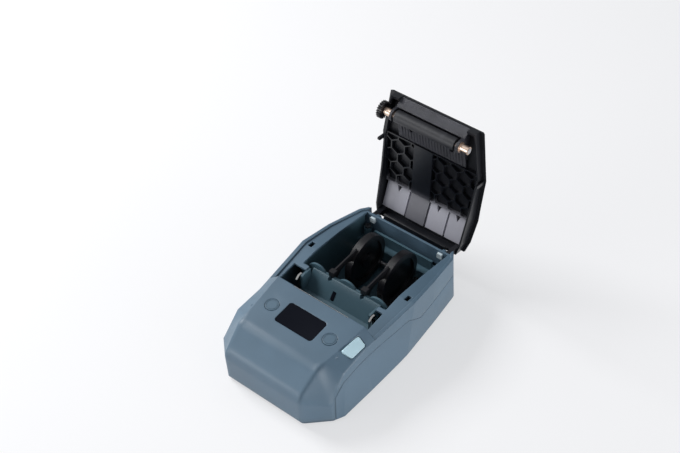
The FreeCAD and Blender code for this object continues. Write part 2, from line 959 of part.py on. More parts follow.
def rubber_feet():
    return Part.makeCompound([post(x, s, 0, foot_pad_height, foot_pad_radius) for x, s in foot_places()])


def base_screws():
    screws = []
    for x, s in screw_places():
        seat = body_bottom + screw_head + screw_seat_gap
        head = post(x, s, seat - screw_head, seat, screw_head_radius)
        screws.append(joined([head, post(x, s, seat - 0.1, seat + screw_length, screw_radius)]))
    return Part.makeCompound(screws)


def charging_socket():
    low = socket_low
    high = socket_low + socket_height
    rear = body_length - socket_wall
    shell = block(socket_at - socket_width / 2, socket_at + socket_width / 2, rear - socket_depth, rear, low, high)
    mouth = block(socket_at - socket_width / 2 + socket_wall, socket_at + socket_width / 2 - socket_wall,
                  rear - socket_depth + 1, rear + 1, low + socket_wall, high - socket_wall)
    tongue_half = socket_width / 2 - socket_tongue_inset
    tongue = block(socket_at - tongue_half, socket_at + tongue_half, rear - socket_depth + bite,
                   rear - 2 * socket_wall,
                   low + socket_tongue_gap, high - socket_tongue_gap)
    return joined([shell.cut(mouth), tongue])


# Display and buttons

def display_window():
    return deck_slab(screen_half_width, screen_front_station, screen_length, screen_corner,
                     -screen_recess - screen_thickness, -screen_recess)


def display_module():
    return deck_slab(screen_half_width - module_inset, screen_front_station + module_inset,
                     screen_length - 2 * module_inset, screen_corner, -board_depth, -screen_recess - screen_thickness)


def display_board():
    return deck_slab(display_board_half_width, screen_front_station - board_front_reach,
                     screen_length + board_front_reach + board_rear_reach, 0,
                     -board_depth - display_board_thickness, -board_depth)


def button_switches():
    switches = []
    for side in (-1, 1):
        x = side * button_half_width_at
        body = deck_slab(switch_size / 2, button_station - switch_size / 2, switch_size, 0,
                         -board_depth, -board_depth + switch_height)
        body.translate(Vec(x, 0, 0))
        knob = deck_cylinder(x, button_station, button_stem_radius - knob_inset,
                             -board_depth + switch_height - bite, -button_stem_end - button_travel - seat_gap)
        switches.append(joined([body, knob]))
    return Part.makeCompound(switches)


def button(side):
    x = side * button_half_width_at
    flange_top = -wall - flange_gap
    cap = deck_cylinder(x, button_station, button_radius, flange_top - bite, button_proud)
    edge = [e for e in cap.Edges if len(e.Vertexes) == 1 and e.BoundBox.Center.z > cap.BoundBox.Center.z]
    cap = cap.makeFillet(button_edge, edge)
    ring = deck_cylinder(x, button_station, button_radius - button_ring_outer,
                         button_proud - button_ring_depth, button_proud + 1)
    ring = ring.cut(deck_cylinder(x, button_station, button_radius - button_ring_inner,
                                  button_proud - 1, button_proud + 2))
    flange = deck_cylinder(x, button_station, button_radius + button_flange,
                           flange_top - flange_thickness, flange_top)
    stem = deck_cylinder(x, button_station, button_stem_radius, -button_stem_end, flange_top - bite)
    return joined([cap.cut(ring), flange, stem])


def release_button():
    """The button on the bevel, with a post and a finger that reaches back to the latch crank."""
    cap = release_solid(0, -release_depth, release_proud)
    out, _ = bevel_frame()
    top = max(v.Point.dot(out) for v in cap.Vertexes)
    cap = cap.makeFillet(release_edge, [e for e in cap.Edges
                                        if all(v.Point.dot(out) > top - fit_clearance for v in e.Vertexes)])
    body = block(finger_inner, finger_inner + finger_width, release_rear_station - release_post_front,
                 release_rear_station - release_post_rear, finger_low, release_post_top)
    body = body.cut(release_solid(20, -release_depth + bite, 30))
    finger = block(finger_inner, finger_inner + finger_width, release_rear_station - release_post_front,
                   finger_rear_station, finger_low, finger_low + finger_height)
    return joined([cap, body, finger])


# Latch

def latch_rod():
    bar = rod(-latch_lever_at - 2, finger_inner + finger_width, latch_station, latch_height, latch_rod_radius)
    crank = prism([(latch_station, latch_height - latch_rod_radius), (latch_station, latch_height + latch_rod_radius),
                   (latch_station + latch_crank, finger_low - release_crank_gap),
                   (latch_station + latch_crank, latch_height - 1)],
                  finger_inner, finger_inner + finger_width)
    return joined([bar, crank])


def latch_lever(side):
    front = platen_station + bush_radius + lever_side_gap
    rear = front + latch_lever_width
    under = platen_height + bush_radius + lever_top_gap
    top = under + latch_nose_thickness
    tip = platen_station + lever_nose_reach
    x = side * latch_lever_at
    waist = latch_height + lever_waist_rise
    head = top + lever_head_rise
    foot = latch_height - lever_foot_low
    outline = [(latch_station - lever_foot_front, latch_height - 1), (latch_station - lever_foot_half_width, foot),
               (latch_station + lever_foot_half_width, foot), (latch_station + lever_foot_front, latch_height),
               (rear, waist), (rear, head), (front, head), (tip, under + lever_nose_tip), (tip, under),
               (front, under), (front, waist)]
    lever = prism(outline, x - latch_lever_thickness / 2, x + latch_lever_thickness / 2)
    return lever.cut(rod(-beyond, beyond, latch_station, latch_height, latch_rod_radius + fit_clearance))


# Print head

def print_head_mount():
    front = seam_station + moving_gap
    low = mount_low
    inner = front + mount_thickness
    floor = low + mount_thickness
    reach = guide_front_station + mount_foot_reach
    back = prism([(front, low), (front, mount_top), (inner, mount_top), (inner, floor), (reach, floor), (reach, low)],
                 -mount_half_width, mount_half_width)
    cheeks = []
    for side in (-1, 1):
        x0 = min(side * mount_half_width, side * (mount_half_width - mount_thickness))
        cheeks.append(block(x0, x0 + mount_thickness, front + bite, head_pivot_station + mount_cheek_reach,
                            low + bite, head_pivot_height + mount_cheek_rise))
    body = joined([back] + cheeks)
    return body.cut(rod(-beyond, beyond, head_pivot_station, head_pivot_height, head_pin_radius + fit_clearance))


def head_pin():
    return rod(-mount_half_width, mount_half_width, head_pivot_station, head_pivot_height, head_pin_radius)


def heat_sink():
    rear = head_face_station() - ceramic_thickness
    front = rear - sink_thickness
    s = head_pivot_station
    low = head_pivot_height - sink_foot_drop
    shoulder = head_pivot_height + sink_foot_rise
    slope = head_pivot_height + sink_slope_rise
    heel = s - sink_foot_half_length
    toe = s + sink_foot_half_length
    outline = [(heel, low), (toe, low), (toe, shoulder), (rear, slope), (rear, head_top), (front, head_top),
               (front, slope), (heel, shoulder)]
    body = prism(outline, -sink_half_width, sink_half_width)
    return body.cut(rod(-beyond, beyond, s, head_pivot_height, head_pin_radius + running_clearance))


def head_face_station():
    return platen_station - platen_radius - head_gap


def print_head():
    face = head_face_station()
    return block(-ceramic_half_width, ceramic_half_width, face - ceramic_thickness, face,
                 head_top - ceramic_height, head_top)


def head_springs():
    start = seam_station + moving_gap + mount_thickness
    bend = start + leaf_thickness
    leaf = [(start, leaf_foot), (bend, leaf_foot), (bend, leaf_knee), (start + leaf_spring_out, leaf_crown),
            (bend, leaf_tip), (start + 0.05, leaf_tip - 0.2), (start + 0.5, leaf_crown), (start, leaf_knee + 0.1)]
    strips = []
    for side in (-1, 1):
        x = side * head_spring_at
        strips.append(prism(leaf, x - head_spring_radius, x + head_spring_radius))
    return Part.makeCompound(strips)


# Paper guide

def paper_guide():
    """A bent sheet that leads the label strip up to the head, with end walls and three humps."""
    t = guide_sheet
    rear = guide_lip_station + guide_lip_reach
    sheet = prism([(guide_front_station, guide_floor + guide_front_rise),
                   (guide_knee_station, guide_floor + guide_knee_rise), (guide_lip_station - 0.4, guide_wall_top),
                   (rear, guide_face_top), (rear, guide_low), (rear - t, guide_low), (rear - t, guide_back_top),
                   (guide_knee_station + 0.8, guide_floor + 0.2), (guide_front_station, guide_floor - guide_front_rise)],
                  -recess_half_width + 1.5, recess_half_width - 1.5)
    lip = block(-guide_lip_half_width, guide_lip_half_width, rear - t, rear, guide_low, guide_face_top)
    parts = [sheet, lip]
    radius = (hump_half_width ** 2 + hump_rise ** 2) / (2 * hump_rise)
    for n in (-1, 0, 1):
        centre = Vec(n * hump_spacing, y_at(rear - t), hump_top - radius)
        hump = Part.makeCylinder(radius, t, centre, Vec(0, 1, 0))
        parts.append(hump.common(block(-guide_lip_half_width, guide_lip_half_width, rear - t, rear,
                                       guide_face_top - bite, sky)))
    for side in (-1, 1):
        x0 = min(side * (recess_half_width - guide_end_inset), side * (recess_half_width - 0.1))
        parts.append(prism([(guide_end_front, guide_end_low), (guide_end_front, guide_end_corner),
                            (guide_knee_station, guide_end_top), (guide_end_rear, guide_end_top),
                            (guide_end_rear, guide_end_low)], x0, x0 + t))
    body = joined(parts)
    cuts = [rod(-beyond, beyond, latch_station, latch_height, latch_rod_radius + running_clearance),
            block(sensor_at - sensor_size / 2, sensor_at + sensor_size / 2,
                  sensor_front_station, sensor_rear_station, guide_floor, sky)]
    for side in (-1, 1):
        x = side * tip_middle
        cuts.append(rod_back(x, guide_lip_station - 4, guide_lip_station + 4, guide_face_top - notch_radius))
        cuts.append(block(x - notch_radius, x + notch_radius, guide_lip_station - 4, guide_lip_station + 4,
                          guide_face_top - notch_radius, sky))
    return body.cut(cuts)


def rod_back(x, s0, s1, z):
    """A cylinder along Y as wide as the small notches in the guide."""
    return Part.makeCylinder(notch_radius, s1 - s0, Vec(x, y_at(s0), z), Vec(0, 1, 0))


def label_sensor():
    half = sensor_size / 2 - seat_gap
    return prism(sensor_outline, sensor_at - half, sensor_at + half)


def tear_bar():
    """A steel strip with a row of small teeth along its top."""
    count = int(2 * tear_bar_half_width / tear_tooth)
    pitch = 2 * tear_bar_half_width / count
    low = seam_height - tear_bar_height
    top = seam_height
    points = [(-tear_bar_half_width, low), (tear_bar_half_width, low)]
    for n in range(count):
        x = tear_bar_half_width - n * pitch
        points.append((x, top - tear_tooth / 2))
        points.append((x - pitch / 2, top))
    points.append((-tear_bar_half_width, top - tear_tooth / 2))
    corners = [Vec(x, y_at(seam_station - tear_bar_thickness), z) for x, z in points]
    return Part.Face(Part.makePolygon(corners + corners[:1])).extrude(Vec(0, tear_bar_thickness, 0))


# Roll bay and holders

def roll_tub():
    front = bay_front_station
    rear = bay_rear_station
    w = bay_half_width
    shelf = rear - rear_shelf_depth
    low = body_bottom + floor_wall
    outside = joined([block(-w - tub_wall, w + tub_wall, front, shelf, low, sky),
                      block(-w - tub_wall, w + tub_wall, shelf - 1, rear, rear_shelf_height - tub_wall, sky)])
    inside = joined([block(-w, w, front + tub_wall, shelf - tub_wall, tub_floor_height, sky + 1),
                     block(-w, w, shelf - tub_wall - 1, rear - tub_wall, rear_shelf_height, sky + 1)])
    body = outside.cut(inside)
    body = body.cut(above_rim(seam_station - 5, -ledge_drop - ledge_thickness))
    body = body.cut(block(-w - 5, w + 5, rear - tub_wall - bite, rear + 1, rear_shelf_height + tub_wall, sky))
    body = body.cut(block(-guide_lip_half_width - seat_gap, guide_lip_half_width + seat_gap, front - 1,
                          front + tub_wall + 1, guide_low, sky))
    bar = block(-rear_bar_half_width, rear_bar_half_width, rear - rear_bar_depth - rear_bar_thickness,
                rear - rear_bar_depth, rear_shelf_height - bite, rear_bar_height)
    boss = post(-boss_half_width_at, boss_station, rear_shelf_height - bite, boss_top, boss_radius)
    axle = post(0, holder_pinion_station, tub_floor_height - bite, rack_high + 0.8, axle_radius)
    body = joined([body, bar, boss, axle])
    bores = [rod(-beyond, beyond, s, rail_height, rail_radius + fit_clearance)
             for s in (rail_front_station, rail_rear_station)]
    bores.append(post(-boss_half_width_at, boss_station, boss_top - boss_shank - 1, boss_top + 1,
                      screw_radius + fit_clearance))
    return body.cut(bores)


def guide_rails():
    w = bay_half_width + tub_wall
    return Part.makeCompound([rod(-w, w, s, rail_height, rail_radius)
                              for s in (rail_front_station, rail_rear_station)])


def boss_screw():
    head = post(-boss_half_width_at, boss_station, boss_top, boss_top + screw_head, screw_head_radius)
    shank = post(-boss_half_width_at, boss_station, boss_top - boss_shank, boss_top + bite, screw_radius)
    cross = []
    for a, b in ((cross_narrow, cross_wide), (cross_wide, cross_narrow)):
        cross.append(block(-boss_half_width_at - a, -boss_half_width_at + a, boss_station - b, boss_station + b,
                           boss_top + screw_head - cross_depth, boss_top + screw_head + 1))
    return joined([head, shank]).cut(cross)


def roll_guide():
    """The left disc with its dish, and the arm, tip and stem in front of it."""
    x1 = -disc_inner_face
    x0 = x1 - disc_thickness
    disc = rod(x0, x1, disc_station, disc_height, disc_radius)
    dish = rod(x0 - 1, x0 + disc_dish, disc_station, disc_height, disc_radius - disc_rim)
    face = rod(x1 - disc_dish, x1 + 1, disc_station, disc_height, disc_radius - disc_rim)
    hub = rod(x1 - 2 * disc_dish, x1, disc_station, disc_height, hub_radius)
    mid = -tip_middle
    arm_x0 = mid - arm_thickness / 2
    root = disc_station - arm_root_station
    arm = prism([(tip_station, arm_tip_height), (root, disc_height + arm_root_rise), (root, arm_low),
                 (tip_station + 1, arm_low)], arm_x0, arm_x0 + arm_thickness)
    arm = arm.cut(rod(-beyond, beyond, (tip_station + disc_station) / 2 - arm_hollow_station,
                      arm_tip_height - arm_hollow_drop - arm_hollow_radius,
                      arm_hollow_radius))
    tip = block(mid - tip_width / 2, mid + tip_width / 2, tip_station - tip_front_reach,
                tip_station - tip_front_reach + tip_length,
                arm_tip_height - tip_height, arm_tip_height + tip_rise)
    stem = block(mid - stem_width / 2, mid + stem_width / 2, stem_station, stem_station + stem_length,
                 foot_high, arm_tip_height - 1)
    return joined([disc.cut([dish, face]), hub, arm, tip, stem])


def holder_slider():
    """The left sliding foot, with two rail bores and a rack under it."""
    x1 = -disc_inner_face - disc_thickness
    x0 = x1 - beam_width
    beam = block(x0, x1, stem_station, foot_rear, foot_low, foot_high)
    toe = block(x0, -tip_middle + stem_width / 2, stem_station, stem_station + toe_length, foot_low, foot_high)
    pitch_line = holder_pinion_station - rack_module * rack_teeth / 2
    front = pitch_line - dedendum * rack_module - rack_back
    web = block(x0, x1, front, pitch_line - dedendum * rack_module, rack_low, foot_low + bite)
    body = joined([beam, toe, web, rack(x0 + 1, rack_reach, pitch_line, front)])
    bores = [rod(-60, 0, s, rail_height, rail_radius + running_clearance)
             for s in (rail_front_station, rail_rear_station)]
    return body.cut(bores)


def rack(x_start, x_end, pitch_line, back):
    """A rack along X facing back, with a tooth space centred on x = 0."""
    pitch = math.pi * rack_module
    root = pitch_line - dedendum * rack_module
    tip = pitch_line + addendum * rack_module
    slope = math.tan(pressure_angle)
    half = (pitch - gear_backlash) / 4
    points = [(x_start, back), (x_start, root)]
    centre = -(math.floor(-x_start / pitch) - 0.5) * pitch
    centre += 2 * pitch
    while centre + pitch / 2 < x_end:
        points.append((centre - half - dedendum * rack_module * slope, root))
        points.append((centre - half + addendum * rack_module * slope, tip))
        points.append((centre + half - addendum * rack_module * slope, tip))
        points.append((centre + half + dedendum * rack_module * slope, root))
        centre += pitch
    points += [(x_end, root), (x_end, back)]
    return plate(points, rack_low, rack_high)


def holder_pinion():
    outline = [(u, holder_pinion_station + v)
               for u, v in gear_outline(rack_teeth, rack_module, 90)]
    body = plate(outline, rack_low, rack_high)
    return body.cut(post(0, holder_pinion_station, 0, 20, axle_radius + running_clearance))


def about_pinion(shape):
    """The same part turned half a turn about the pinion axis, for the other side."""
    turned = shape.copy()
    turned.rotate(Vec(0, y_at(holder_pinion_station), 0), Vec(0, 0, 1), 180)
    return turned


def right_slider():
    """The right sliding foot: the beam is mirrored, and its rack runs behind the pinion."""
    x0 = disc_inner_face + disc_thickness
    x1 = x0 + beam_width
    beam = block(x0, x1, stem_station, foot_rear, foot_low, foot_high)
    toe = block(tip_middle - stem_width / 2, x1, stem_station, stem_station + toe_length, foot_low, foot_high)
    pitch_line = holder_pinion_station - rack_module * rack_teeth / 2
    front = pitch_line - dedendum * rack_module - rack_back
    bar = about_pinion(rack(-disc_inner_face - disc_thickness - beam_width + 1, rack_reach, pitch_line, front))
    near = 2 * holder_pinion_station - (pitch_line - dedendum * rack_module)
    web = block(x0, x1, near, near + rack_back, rack_low, foot_low + bite)
    bores = [rod(0, 60, s, rail_height, rail_radius + running_clearance)
             for s in (rail_front_station, rail_rear_station)]
    return joined([beam, toe, web, bar]).cut(bores)


# Drive

def idler_place():
    turn = math.radians(idler_angle)
    reach = gear_module * (platen_teeth + idler_teeth) / 2 + centre_slack
    return platen_station + reach * math.cos(turn), platen_height + reach * math.sin(turn)


def motor_direction():
    return idler_angle - 180 + pitch_steps_to_motor * 360 / idler_teeth


def motor_place():
    s, z = idler_place()
    turn = math.radians(motor_direction())
    reach = gear_module * (motor_teeth + idler_teeth) / 2 + centre_slack
    return s + reach * math.cos(turn), z + reach * math.sin(turn)


def platen_gear():
    return gear(platen_teeth, gear_module, -gear_inner_face - gear_width, -gear_inner_face,
                platen_station, platen_height, shaft_radius + fit_clearance,
                idler_angle + 180 / platen_teeth)


def idler_gear():
    s, z = idler_place()
    x0 = -gear_inner_face - gear_width
    body = gear(idler_teeth, gear_module, x0, -gear_inner_face, s, z, axle_radius + running_clearance,
                idler_angle - 180)
    groove = rod(x0 - 1, x0 + idler_groove_depth, s, z, idler_groove_outer)
    groove = groove.cut(rod(x0 - 2, x0 + 2, s, z, idler_groove_inner))
    return body.cut(groove)


def motor_pinion():
    s, z = motor_place()
    return gear(motor_teeth, gear_module, -gear_inner_face - gear_width, -gear_inner_face, s, z,
                motor_shaft_radius + fit_clearance, motor_direction() + 180 + 180 / motor_teeth)


def motor_shaft():
    s, z = motor_place()
    inner_end = -gear_plate_outer + gear_plate_thickness + motor_shaft_reach
    return rod(-gear_inner_face - gear_width - shaft_tip, inner_end, s, z,
               motor_shaft_radius)


def motor():
    s, z = motor_place()
    x0 = -gear_plate_outer + gear_plate_thickness
    can = rod(x0, x0 + motor_length, s, z, motor_radius)
    boss = rod(-gear_plate_outer - bite, x0 + 1, s, z, motor_boss_radius)
    cap = rod(x0 + motor_length - bite, x0 + motor_length + motor_cap_depth, s, z, motor_boss_radius)
    bore = rod(-60, x0 + motor_bore_depth, s, z, motor_shaft_radius + running_clearance)
    return joined([can, boss, cap]).cut(bore)


def gear_plate():
    s, z = motor_place()
    si, zi = idler_place()
    x0 = -gear_plate_outer
    top = zi + gear_plate_rise
    front = gear_plate_front + fit_clearance
    sheet = prism([(front, gear_plate_low), (front, gear_plate_step),
                   (s - 4, top), (gear_plate_rear - fit_clearance, top),
                   (gear_plate_rear - fit_clearance, gear_plate_low)], x0, x0 + gear_plate_thickness)
    sheet = sheet.cut(rod(-60, 0, s, z, motor_boss_radius + fit_clearance))
    axle = rod(-gear_inner_face - gear_width - shaft_proud, x0 + gear_plate_thickness / 2, si, zi, axle_radius)
    return joined([sheet, axle])


# Boards

def main_board():
    board = block(-board_half_width, board_half_width, board_front_station, board_front_station + board_length,
                  board_low, board_low + board_thickness)
    parts = [board]
    for x0, x1, s0, s1, rise in chips:
        parts.append(block(x0, x1, s0, s1, board_low + 1, board_low + board_thickness + rise))
    return joined(parts)


def battery_pack():
    cell = block(battery_left_edge, battery_left_edge + battery_width, battery_front_station,
                 battery_front_station + battery_length, board_low + board_thickness,
                 board_low + board_thickness + battery_height)
    upright = [e for e in cell.Edges if abs(e.tangentAt(e.FirstParameter).z) > 0.9]
    return cell.makeFillet(battery_corner, upright)


# Lid, drawn closed

def lid_plan(inset):
    """The lid's outline seen from above, drawn in by an inset, as a tall solid."""
    edge = [(seam_station, seam_half_width), (rim_widest_station, lid_crease_half_width),
            (lid_fold_station, lid_fold_half_width), (rim_corner_station, lid_corner_half_width),
            (body_length, lid_rear_half_width)]
    right = [(half - inset, s) for s, half in edge]
    return plate(right + [(-x, s) for x, s in reversed(right)], 0, sky)


def hinge_cover():
    """A rounded skirt behind the hinge that closes the slit under the open lid."""
    w = hinge_cover_half_width
    ring = rod(-w, w, hinge_station, hinge_height, hinge_cover_outer)
    ring = ring.cut(rod(-w - 1, w + 1, hinge_station, hinge_height, hinge_cover_inner))
    reach = 2 * hinge_cover_outer
    start = math.radians(hinge_cover_start)
    end = math.radians(hinge_cover_end)
    fan = prism([(hinge_station, hinge_height),
                 (hinge_station + reach * math.cos(start), hinge_height + reach * math.sin(start)),
                 (hinge_station + reach * math.cos(end), hinge_height + reach * math.sin(end))], -w, w)
    web = block(-w, w, hinge_station, body_length - seat_gap, hinge_height + hinge_cover_inner + bite,
                rim_rear_height + lid_wall)
    return joined([ring.common(fan), web.cut(rod(-w, w, hinge_station, hinge_height, hinge_cover_inner))])


def lid_shell():
    lid = OUTER.common(above_rim(lid_front_station, lid_gap))
    lid = lid.cut(below_lid_skin(lid_edge_drop).cut(lid_plan(lid_skirt_inset)))
    hollow = form(lid_wall, body_bottom).common(
        block(-beyond, beyond, lid_front_station + lid_wall, body_length + 1, 0, sky))
    lid = lid.cut(hollow.common(lid_plan(lid_skirt_inset + lid_skirt_wall)))
    mouth = block(-cheek_inner - cheek_width, cheek_inner + cheek_width, lid_front_station - 1,
                  lid_front_station + lid_wall + 1, 40, deck_height(lid_front_station) - lid_wall)
    gear_x = -gear_inner_face - gear_width
    lid = lid.cut([mouth, rod(gear_x - moving_gap, -gear_inner_face + moving_gap, platen_station, platen_height,
                              gear_module * (platen_teeth / 2 + addendum) + moving_gap)])
    clear = block(-hinge_recess_half_width, hinge_recess_half_width, hinge_recess_station - 1, body_length + 1,
                  hinge_recess_height, rim_rear_height + lid_gap + 0.3)
    lid = lid.cut(clear.common(below_lid_skin(lid_wall)))
    additions = [hinge_cover()]
    for side in (-1, 1):
        x0 = ear_inner + ear_width + knuckle_gap
        x0 = x0 if side > 0 else -x0 - knuckle_width
        x1 = x0 + knuckle_width
        arm = block(x0, x1, hinge_station - hinge_arm_front, hinge_station + hinge_arm_rear, hinge_height, sky)
        arm = arm.common(form(lid_wall / 2))
        additions.append(rod(x0, x1, hinge_station, hinge_height, knuckle_radius).fuse(arm))
        hook_x = side * hook_slot_half_width_at
        hook = prism([(hook_slot_station - lid_hook_width / 2, rim_widest_height - lid_hook_drop),
                      (hook_slot_station + lid_hook_width / 2 - hook_step, rim_widest_height - lid_hook_drop),
                      (hook_slot_station + lid_hook_width / 2, rim_widest_height - lid_hook_drop + hook_chamfer),
                      (hook_slot_station + lid_hook_width / 2, sky), (hook_slot_station - lid_hook_width / 2, sky)],
                     hook_x - lid_hook_thickness / 2, hook_x + lid_hook_thickness / 2)
        additions.append(hook.common(form(lid_wall / 2)))
    lid = joined([lid] + additions)
    bore = rod(-beyond, beyond, hinge_station, hinge_height, pin_radius + running_clearance)
    return opened(lid.cut(bore))


def below_lid_skin(depth):
    line = [(s, lid_height(s) - depth) for s in (seam_station, lid_fold_station, body_length)]
    return prism(line + [(body_length, 0), (seam_station, 0)], -beyond, beyond)


def lid_layer(s0, s1, depth, x0, x1):
    """Everything under the lid's skin down to a depth, between two stations and two X planes."""
    return prism([(s0, lid_height(s0) - depth), (s1, lid_height(s1) - depth), (s1, sky), (s0, sky)], x0, x1)


def hexagon(x, station):
    radius = (hex_pitch - hex_web) / math.sqrt(3)
    return plate([(x + radius * math.sin(k * math.pi / 3), station + radius * math.cos(k * math.pi / 3))
                  for k in range(6)], 40, sky)


def lid_cells(front, fold):
    """The hollow cells between the honeycomb ribs, on both sides of the strip."""
    row_step = hex_pitch * math.sin(math.radians(60))
    columns = int(lid_crease_half_width / hex_pitch) + 2
    cells = []
    for r in range(int((fold - front) / row_step) + 2):
        for c in range(-columns, columns + 1):
            cells.append(hexagon((c + 0.5 * (r % 2)) * hex_pitch, front + r * row_step))
    border = lid_skirt_inset + lid_skirt_wall + frame_border
    wide = lid_crease_half_width
    sides = [block(-wide, strip_left, front + frame_border, fold - frame_border, 0, sky),
             block(strip_right, wide, front + frame_border, fold - frame_border, 0, sky)]
    return [Part.makeCompound(cells).common(side.common(lid_plan(border))) for side in sides]


def lid_frame():
    """Honeycomb ribs, the smooth strip over them and the plain panels behind the fold."""
    room = form(lid_wall + seat_gap, body_bottom).common(lid_plan(lid_skirt_inset + lid_skirt_wall + seat_gap))
    front = frame_front_station
    fold = lid_fold_station
    rear = body_length - lid_wall - panel_end_gap
    depth = lid_wall + frame_layer
    wide = lid_crease_half_width
    layer = lid_layer(front, fold, depth, -wide, wide).common(room).cut(lid_cells(front, fold))
    panels = lid_layer(fold - frame_border, rear, lid_wall + panel_layer, -panel_half_width, panel_half_width)
    grooves = []
    for x in (strip_left - panel_groove, strip_right, panel_split):
        low = lid_layer(fold + frame_border, rear + 1, lid_wall + 2 * panel_layer, x, x + panel_groove)
        grooves.append(low.common(below_lid_skin(lid_wall + seat_gap + panel_bridge)))
    for left, right in ((-panel_half_width, strip_left), (strip_right, panel_split), (panel_split, panel_half_width)):
        x = (left + right) / 2
        grooves.append(plate([(x - panel_notch_width / 2, fold), (x + panel_notch_width / 2, fold),
                              (x, fold + panel_notch_length)], 40, sky))
    strip = [lid_layer(front, fold, depth + strip_rise, strip_left, strip_right),
             lid_layer(fold, rear, lid_wall + panel_layer + strip_rise, strip_left, strip_right)]
    return opened(joined([layer, panels.common(room).cut(grooves)] + [s.common(room) for s in strip]))


def platen_carrier():
    """The piece in the lid that holds the platen: front panel, rear bracket and two end cheeks."""
    w = cheek_inner + cheek_width
    panel = prism(carrier_panel, -w, w)
    (s0, z0), (s1, z1) = bracket_front, bracket_rear
    bracket = prism([(s0, z0), (s1, z1), (s1, z1 + bracket_thickness), (s0, z0 + bracket_thickness)], -w, w)
    parts = [panel, bracket]
    count = int((w - rib_width) / rib_pitch)
    for n in range(-count, count + 1):
        x = n * rib_pitch
        reach = 1.0 - short_rib * (n % 2)
        parts.append(prism([(s0 + 1, z0 - rib_depth), (s0 + reach * (s1 - s0), z0 + reach * (z1 - z0) - rib_depth),
                            (s0 + reach * (s1 - s0), z1), (s0 + 1, z0 + 1)], x - rib_width / 2, x + rib_width / 2))
    for side in (-1, 1):
        x0 = min(side * cheek_inner, side * w)
        cheek = prism([(platen_station - cheek_radius, platen_height)] + carrier_cheek_front + carrier_cheek_rear
                      + [(s0 + carrier_cheek_foot, z0 + carrier_cheek_foot_rise), (s0, z0),
                         (platen_station + cheek_radius, platen_height)], x0, x0 + cheek_width)
        parts += [cheek, rod(x0, x0 + cheek_width, platen_station, platen_height, cheek_radius)]
    body = joined(parts)
    cuts = [rod(-beyond, beyond, platen_station, platen_height, bush_radius + fit_clearance)]
    for side in (-1, 1):
        cuts.append(post(side * bracket_hole_at, bracket_hole_station, 40, sky, bracket_hole_radius))
    return opened(body.cut(cuts))


def platen_bush(side):
    end = bush_right_end if side > 0 else bush_left_end
    start = cheek_inner - 1.1
    x0, x1 = (start, end) if side > 0 else (-end, -start)
    tube = rod(x0, x1, platen_station, platen_height, bush_radius)
    f0 = cheek_inner + cheek_width
    f0 = f0 if side > 0 else -f0 - bush_flange
    flange = rod(f0, f0 + bush_flange, platen_station, platen_height, bush_flange_radius)
    bore = rod(-beyond, beyond, platen_station, platen_height, shaft_radius + running_clearance)
    return opened(joined([tube, flange]).cut(bore))


def platen_shaft():
    return opened(rod(-gear_inner_face - gear_width - shaft_proud, bush_right_end + 0.6, platen_station, platen_height,
                      shaft_radius))


def platen_roller():
    tube = rod(-platen_half_length, platen_half_length, platen_station, platen_height, platen_radius)
    return opened(tube.cut(rod(-beyond, beyond, platen_station, platen_height, shaft_radius)))


def hinge_pins():
    x0 = ear_inner
    x1 = ear_inner + ear_width + knuckle_gap + knuckle_width
    return both(rod(x0, x1, hinge_station, hinge_height, pin_radius))


def hinge_blocks():
    x0 = hinge_block_inner
    stop = block(x0, x0 + hinge_block_width, bay_rear_station + seat_gap - hinge_block_depth,
                 bay_rear_station + seat_gap, hinge_block_low, hinge_block_low + hinge_block_height)
    upright = [e for e in stop.Edges if abs(e.tangentAt(e.FirstParameter).y) > 0.9]
    return both(stop.makeFillet(block_corner, upright))


NODES = {
    "upper_shell": upper_shell(),
    "base_shell": base_shell(),
    "rubber_feet": rubber_feet(),
    "base_screws": base_screws(),
    "charging_socket": charging_socket(),
    "display_window": display_window(),
    "display_module": display_module(),
    "display_board": display_board(),
    "button_switches": button_switches(),
    "left_button": button(-1),
    "right_button": button(1),
    "release_button": release_button(),
    "latch_rod": latch_rod(),
    "left_latch_lever": latch_lever(-1),
    "right_latch_lever": latch_lever(1),
    "print_head_mount": print_head_mount(),
    "head_pin": head_pin(),
    "head_springs": head_springs(),
    "heat_sink": heat_sink(),
    "print_head": print_head(),
    "paper_guide": paper_guide(),
    "label_sensor": label_sensor(),
    "tear_bar": tear_bar(),
    "roll_tub": roll_tub(),
    "guide_rails": guide_rails(),
    "boss_screw": boss_screw(),
    "left_roll_guide": roll_guide(),
    "right_roll_guide": mirrored(roll_guide()),
    "left_holder_slider": holder_slider(),
    "right_holder_slider": right_slider(),
    "holder_pinion": holder_pinion(),
    "gear_plate": gear_plate(),
    "idler_gear": idler_gear(),
    "motor": motor(),
    "motor_shaft": motor_shaft(),
    "motor_pinion": motor_pinion(),
    "main_board": main_board(),
    "battery_pack": battery_pack(),
    "hinge_pins": hinge_pins(),
    "hinge_blocks": hinge_blocks(),
    "lid_shell": lid_shell(),
    "lid_frame": lid_frame(),
    "platen_carrier": platen_carrier(),
    "left_platen_bush": platen_bush(-1),
    "right_platen_bush": platen_bush(1),
    "platen_shaft": platen_shaft(),
    "platen_roller": platen_roller(),
    "platen_gear": opened(platen_gear()),
}

os.makedirs("parts", exist_ok=True)
for name, shape in NODES.items():
    shape.exportStep("parts/" + name + ".step")
    print(name, shape.isValid(), len(shape.Solids), round(shape.Volume, 1))
print("hinge at y", round(y_at(hinge_station), 3), "z", hinge_height, "nose at y", round(nose_y, 3))
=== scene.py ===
"""Label printer with its lid open: materials, softened edges, light and camera."""
import math

import bmesh
import bpy
from mathutils import Matrix, Vector

